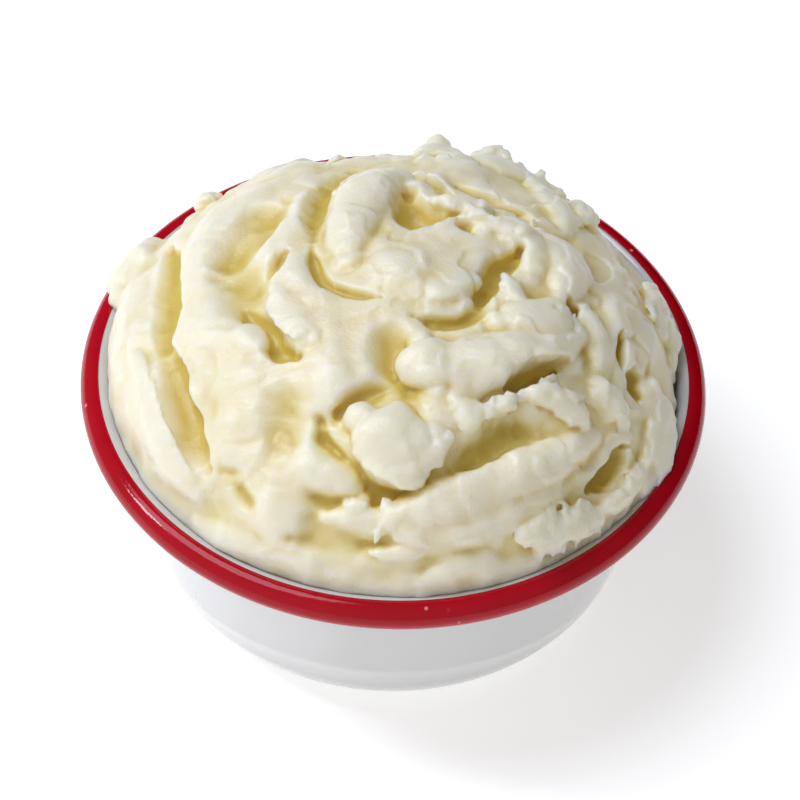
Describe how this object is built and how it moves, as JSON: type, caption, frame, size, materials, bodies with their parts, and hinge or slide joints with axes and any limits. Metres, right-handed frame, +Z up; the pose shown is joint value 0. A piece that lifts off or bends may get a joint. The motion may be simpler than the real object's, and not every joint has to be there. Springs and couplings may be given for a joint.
{
  "type": "mashed potato side",
  "caption": "Mashed potato heaped in swirled, torn folds above the rim of a round white enamelled bowl with a rolled red edge.",
  "frame": {"origin": "centre of the bowl's flat base, on the surface it stands on", "axes": "+Z up along the bowl's axis, -Y towards the viewer of the picture, +X to the viewer's right"},
  "size_m": [0.16, 0.16, 0.1042],
  "materials": {
    "white_enamel": "glossy white fired enamel on pressed steel",
    "red_enamel": "glossy red fired enamel on the rolled edge",
    "potato": "soft moist pale yellow mash, light passes a little way into it"
  },
  "bodies": {
    "root": {"bowl": "white_enamel", "mashed_potato": "potato"}
  },
  "joints": []
}
